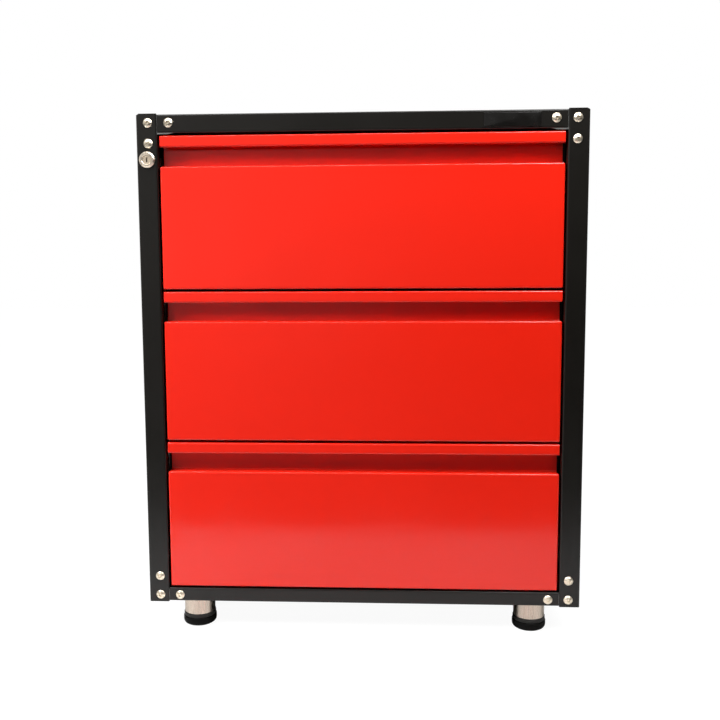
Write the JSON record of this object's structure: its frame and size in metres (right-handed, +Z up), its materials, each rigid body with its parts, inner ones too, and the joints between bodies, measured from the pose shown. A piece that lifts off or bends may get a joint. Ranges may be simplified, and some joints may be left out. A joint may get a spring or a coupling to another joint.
{
  "type": "tool cabinet",
  "caption": "Floor-standing steel tool cabinet with flush drawers on telescopic slides, recessed finger pulls, a central cam lock and adjustable screw feet.",
  "frame": {"origin": "on the floor, under the middle of the cabinet", "axes": "+X to the cabinet's right as seen from the front, +Y from the front to the back, +Z up"},
  "size_m": [0.68, 0.4654, 0.804],
  "materials": {
    "black_paint": "fine-textured semi-gloss powder coat",
    "red_paint": "glossy powder coat with faint orange peel",
    "red_paint_inner": "glossy powder coat",
    "zinc_plate": "zinc plated sheet",
    "zinc_slide": "bright zinc plated, rolled lengthways",
    "ball_cage": "greased steel",
    "nickel_screw": "bright nickel plated",
    "zinc_screw": "zinc plated",
    "lock_chrome": "satin chrome",
    "lock_core": "worn nickel",
    "guide_plastic": "moulded nylon",
    "leg_steel": "brushed, bright",
    "collar_plastic": "satin moulded",
    "pad_rubber": "smooth, slightly glossy"
  },
  "bodies": {
    "root": {"bottom_panel": "black_paint", "corner_gussets": "zinc_plate", "drawer_1_outer_slides": "zinc_slide", "drawer_2_outer_slides": "zinc_slide", "drawer_3_outer_slides": "zinc_slide", "frame_screws": "nickel_screw", "leg_bolts": "zinc_screw", "leg_front_left": "leg_steel", "leg_front_right": "leg_steel", "leg_plates": "zinc_plate", "leg_rear_left": "leg_steel", "leg_rear_right": "leg_steel", "lock_bar_guides": "guide_plastic", "lock_housing": "lock_chrome", "lock_nut": "lock_chrome", "rear_panel": "black_paint", "rear_screws": "zinc_screw", "side_panel_left": "black_paint", "side_panel_right": "black_paint", "slide_posts_left": "black_paint", "slide_posts_right": "black_paint", "slide_screws": "zinc_screw", "top_panel": "black_paint"},
    "drawer_1": {"drawer_1_front": "red_paint", "drawer_1_tray": "red_paint_inner", "drawer_1_box_ends": "red_paint_inner", "drawer_1_inner_slides": "zinc_slide", "drawer_1_fasteners": "zinc_screw", "drawer_1_catch": "zinc_plate"},
    "drawer_1_middle": {"drawer_1_middle_slides": "zinc_slide", "drawer_1_ball_cages": "ball_cage"},
    "drawer_2": {"drawer_2_front": "red_paint", "drawer_2_tray": "red_paint_inner", "drawer_2_box_ends": "red_paint_inner", "drawer_2_inner_slides": "zinc_slide", "drawer_2_fasteners": "zinc_screw", "drawer_2_catch": "zinc_plate"},
    "drawer_2_middle": {"drawer_2_middle_slides": "zinc_slide", "drawer_2_ball_cages": "ball_cage"},
    "drawer_3": {"drawer_3_front": "red_paint", "drawer_3_tray": "red_paint_inner", "drawer_3_box_ends": "red_paint_inner", "drawer_3_inner_slides": "zinc_slide", "drawer_3_fasteners": "zinc_screw", "drawer_3_catch": "zinc_plate"},
    "drawer_3_middle": {"drawer_3_middle_slides": "zinc_slide", "drawer_3_ball_cages": "ball_cage"},
    "lock_core": {"lock_plug": "lock_core", "lock_cam": "zinc_plate", "lock_cam_screw": "zinc_screw"},
    "lock_bar": {"lock_bar": "zinc_plate", "lock_bar_tabs": "zinc_plate"},
    "foot_front_left": {"foot_pad_front_left": "pad_rubber"},
    "collar_front_left": {"foot_collar_front_left": "collar_plastic"},
    "foot_rear_left": {"foot_pad_rear_left": "pad_rubber"},
    "collar_rear_left": {"foot_collar_rear_left": "collar_plastic"},
    "foot_front_right": {"foot_pad_front_right": "pad_rubber"},
    "collar_front_right": {"foot_collar_front_right": "collar_plastic"},
    "foot_rear_right": {"foot_pad_rear_right": "pad_rubber"},
    "collar_rear_right": {"foot_collar_rear_right": "collar_plastic"}
  },
  "joints": [
    {"name": "drawer_1_travel", "type": "slide", "parent": "root", "child": "drawer_1", "axis": [0, -1, 0], "range_m": [0, 0.4]},
    {"name": "drawer_1_middle_travel", "type": "slide", "parent": "root", "child": "drawer_1_middle", "axis": [0, -1, 0], "range_m": [0, 0.2]},
    {"name": "drawer_2_travel", "type": "slide", "parent": "root", "child": "drawer_2", "axis": [0, -1, 0], "range_m": [0, 0.4]},
    {"name": "drawer_2_middle_travel", "type": "slide", "parent": "root", "child": "drawer_2_middle", "axis": [0, -1, 0], "range_m": [0, 0.2]},
    {"name": "drawer_3_travel", "type": "slide", "parent": "root", "child": "drawer_3", "axis": [0, -1, 0], "range_m": [0, 0.4]},
    {"name": "drawer_3_middle_travel", "type": "slide", "parent": "root", "child": "drawer_3_middle", "axis": [0, -1, 0], "range_m": [0, 0.2]},
    {"name": "lock_bar_lift", "type": "slide", "parent": "root", "child": "lock_bar", "axis": [0, 0, 1], "range_m": [0, 0.01556]},
    {"name": "lock_turn", "type": "hinge", "parent": "root", "child": "lock_core", "pos_m": [-0.324, -0.23, 0.7354], "axis": [0, -1, 0], "range_deg": [0, 90]},
    {"name": "foot_front_left_lift", "type": "slide", "parent": "root", "child": "foot_front_left", "axis": [0, 0, -1], "range_m": [0, 0.01001]},
    {"name": "foot_front_left_turn", "type": "hinge", "parent": "foot_front_left", "child": "collar_front_left", "pos_m": [-0.2655, -0.203, 0.0168], "axis": [0, 0, -1], "range_deg": [0, 2400]},
    {"name": "foot_rear_left_lift", "type": "slide", "parent": "root", "child": "foot_rear_left", "axis": [0, 0, -1], "range_m": [0, 0.01001]},
    {"name": "foot_rear_left_turn", "type": "hinge", "parent": "foot_rear_left", "child": "collar_rear_left", "pos_m": [-0.2655, 0.203, 0.0168], "axis": [0, 0, -1], "range_deg": [0, 2400]},
    {"name": "foot_front_right_lift", "type": "slide", "parent": "root", "child": "foot_front_right", "axis": [0, 0, -1], "range_m": [0, 0.01001]},
    {"name": "foot_front_right_turn", "type": "hinge", "parent": "foot_front_right", "child": "collar_front_right", "pos_m": [0.2655, -0.203, 0.0168], "axis": [0, 0, -1], "range_deg": [0, 2400]},
    {"name": "foot_rear_right_lift", "type": "slide", "parent": "root", "child": "foot_rear_right", "axis": [0, 0, -1], "range_m": [0, 0.01001]},
    {"name": "foot_rear_right_turn", "type": "hinge", "parent": "foot_rear_right", "child": "collar_rear_right", "pos_m": [0.2655, 0.203, 0.0168], "axis": [0, 0, -1], "range_deg": [0, 2400]}
  ],
  "couplings": [
    {"joint": "drawer_1_middle_travel", "follows": "drawer_1_travel", "ratio": 0.5},
    {"joint": "drawer_2_middle_travel", "follows": "drawer_2_travel", "ratio": 0.5},
    {"joint": "drawer_3_middle_travel", "follows": "drawer_3_travel", "ratio": 0.5},
    {"joint": "lock_turn", "follows": "lock_bar_lift", "rad_per_m": 100.97},
    {"joint": "foot_front_left_lift", "follows": "foot_front_left_turn", "m_per_rad": 0.00023873},
    {"joint": "foot_rear_left_lift", "follows": "foot_rear_left_turn", "m_per_rad": 0.00023873},
    {"joint": "foot_front_right_lift", "follows": "foot_front_right_turn", "m_per_rad": 0.00023873},
    {"joint": "foot_rear_right_lift", "follows": "foot_rear_right_turn", "m_per_rad": 0.00023873}
  ]
}
